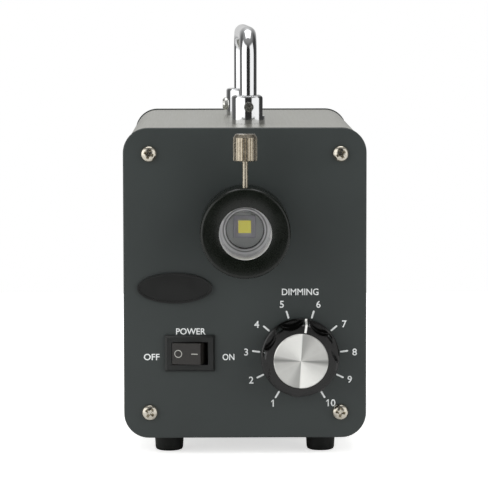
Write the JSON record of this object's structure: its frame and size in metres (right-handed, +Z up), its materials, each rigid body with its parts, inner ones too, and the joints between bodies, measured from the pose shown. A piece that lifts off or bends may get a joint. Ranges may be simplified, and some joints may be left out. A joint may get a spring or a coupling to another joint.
{
  "type": "fiber optic illuminator",
  "caption": "Bench light source for a fibre light guide: boxy case with a clamped light port, dimmer knob, rocker switch, folding handle, fan and mains inlet.",
  "frame": {"origin": "on the ground, below the middle of the bounding box", "axes": "+X to the right as seen from the front, the front panel faces -Y, +Z up"},
  "size_m": [0.102, 0.217, 0.1798],
  "materials": {
    "shell_finish": "satin bead-blasted and clear anodised, faint lines along the extrusion",
    "plate_finish": "smooth satin dark grey paint",
    "screw_steel": "bright zinc plated steel",
    "foot_plastic": "matte black moulded",
    "handle_chrome": "bright chrome plate",
    "collar_black": "semi-gloss black anodised",
    "sleeve_aluminium": "bright turned bore",
    "lens_glass": "polished optical glass",
    "black_anodised": "matte black anodised",
    "thumb_steel": "bright nickel plated, straight knurl",
    "nylon": "natural moulded",
    "sink_aluminium": "plain mill finish",
    "led_board_white": "white solder mask over metal",
    "led_ceramic": "white ceramic",
    "phosphor_yellow": "soft satin",
    "badge_black": "satin black, bare",
    "switch_plastic": "semi-gloss black moulded",
    "button_plastic": "gloss black moulded",
    "terminal_brass": "tinned brass strip",
    "knob_plastic": "gloss black moulded",
    "cap_aluminium": "spun face, fine circular lines",
    "pointer_white": "white moulded",
    "pot_casting": "dark moulded case",
    "shaft_aluminium": "plain turned",
    "fan_plastic": "matte black moulded",
    "guard_chrome": "bright nickel chrome wire",
    "inlet_plastic": "satin black moulded",
    "fuse_glass": "clear glass tube",
    "board_green": "green solder mask",
    "core_steel": "varnished laminations",
    "coil_tape": "amber tape",
    "capacitor_sleeve": "dark blue shrink sleeve",
    "terminal_green": "moulded"
  },
  "bodies": {
    "case": {"housing_shell": "shell_finish", "front_panel": "plate_finish", "rear_panel": "plate_finish", "front_panel_screws": "screw_steel", "rear_panel_screws": "screw_steel", "foot_front_left": "foot_plastic", "foot_front_right": "foot_plastic", "foot_rear_left": "foot_plastic", "foot_rear_right": "foot_plastic", "foot_screws": "screw_steel", "foot_nuts": "screw_steel", "handle_post_front": "handle_chrome", "handle_post_rear": "handle_chrome", "handle_pivot_front": "screw_steel", "handle_pivot_rear": "screw_steel", "handle_lock_screw": "handle_chrome", "handle_nuts": "screw_steel", "handle_washers": "screw_steel", "port_collar": "collar_black", "port_sleeve": "sleeve_aluminium", "collar_screws": "screw_steel", "condenser_lens": "lens_glass", "lens_ring": "black_anodised", "heat_sink": "sink_aluminium", "heat_sink_spacers": "screw_steel", "heat_sink_screws": "screw_steel", "led_board": "led_board_white", "led_package": "led_ceramic", "led_phosphor": "phosphor_yellow", "badge_plate": "badge_black", "rocker_housing": "switch_plastic", "rocker_terminals": "terminal_brass", "potentiometer": "pot_casting", "potentiometer_nut": "terminal_brass", "potentiometer_washer": "screw_steel", "potentiometer_lugs": "terminal_brass", "fan_frame": "fan_plastic", "fan_guard": "guard_chrome", "fan_screws": "screw_steel", "fan_nuts": "screw_steel", "inlet_housing": "inlet_plastic", "inlet_pins": "terminal_brass", "inlet_screws": "screw_steel", "driver_board": "board_green", "transformer_core": "core_steel", "transformer_coil": "coil_tape", "board_capacitors": "capacitor_sleeve", "terminal_blocks": "terminal_green"},
    "knob": {"dimmer_knob": "knob_plastic", "knob_cap": "cap_aluminium", "knob_pointer": "pointer_white", "knob_set_screw": "screw_steel", "potentiometer_shaft": "shaft_aluminium"},
    "rocker": {"rocker_button": "button_plastic"},
    "thumb_tip": {"thumb_screw_tip": "nylon"},
    "thumb_screw": {"thumb_screw": "thumb_steel"},
    "handle": {"handle_bow": "handle_chrome"},
    "fuse_drawer": {"fuse_drawer": "inlet_plastic", "fuse": "fuse_glass"},
    "fan": {"fan_rotor": "fan_plastic"}
  },
  "joints": [
    {"name": "dimmer_turn", "type": "hinge", "parent": "case", "child": "knob", "pos_m": [0.02315, -0.0855, 0.0418], "axis": [0, 1, 0], "range_deg": [-157.7, 140.3]},
    {"name": "rocker_tilt", "type": "hinge", "parent": "case", "child": "rocker", "pos_m": [-0.0232, -0.0808, 0.04355], "axis": [0, 0, 1], "range_deg": [0, 21]},
    {"name": "thumb_screw_travel", "type": "slide", "parent": "case", "child": "thumb_tip", "axis": [0, 0, -1], "range_m": [-0.0009, 0.006]},
    {"name": "thumb_screw_turn", "type": "hinge", "parent": "thumb_tip", "child": "thumb_screw", "pos_m": [0, -0.102, 0.13], "axis": [0, 0, -1], "range_deg": [-715, 4795]},
    {"name": "handle_fold", "type": "hinge", "parent": "case", "child": "handle", "pos_m": [0.001, 0.0057, 0.1452], "axis": [-0.0227, 0.9997, 0], "range_deg": [0, 90]},
    {"name": "fuse_drawer_slide", "type": "slide", "parent": "case", "child": "fuse_drawer", "axis": [0, 1, 0], "range_m": [0, 0.018]},
    {"name": "fan_spin", "type": "hinge", "parent": "case", "child": "fan", "pos_m": [0, 0.095, 0.0958], "axis": [0, 1, 0], "continuous": true}
  ],
  "couplings": [
    {"joint": "thumb_screw_travel", "follows": "thumb_screw_turn", "m_per_rad": 0.00007162}
  ]
}
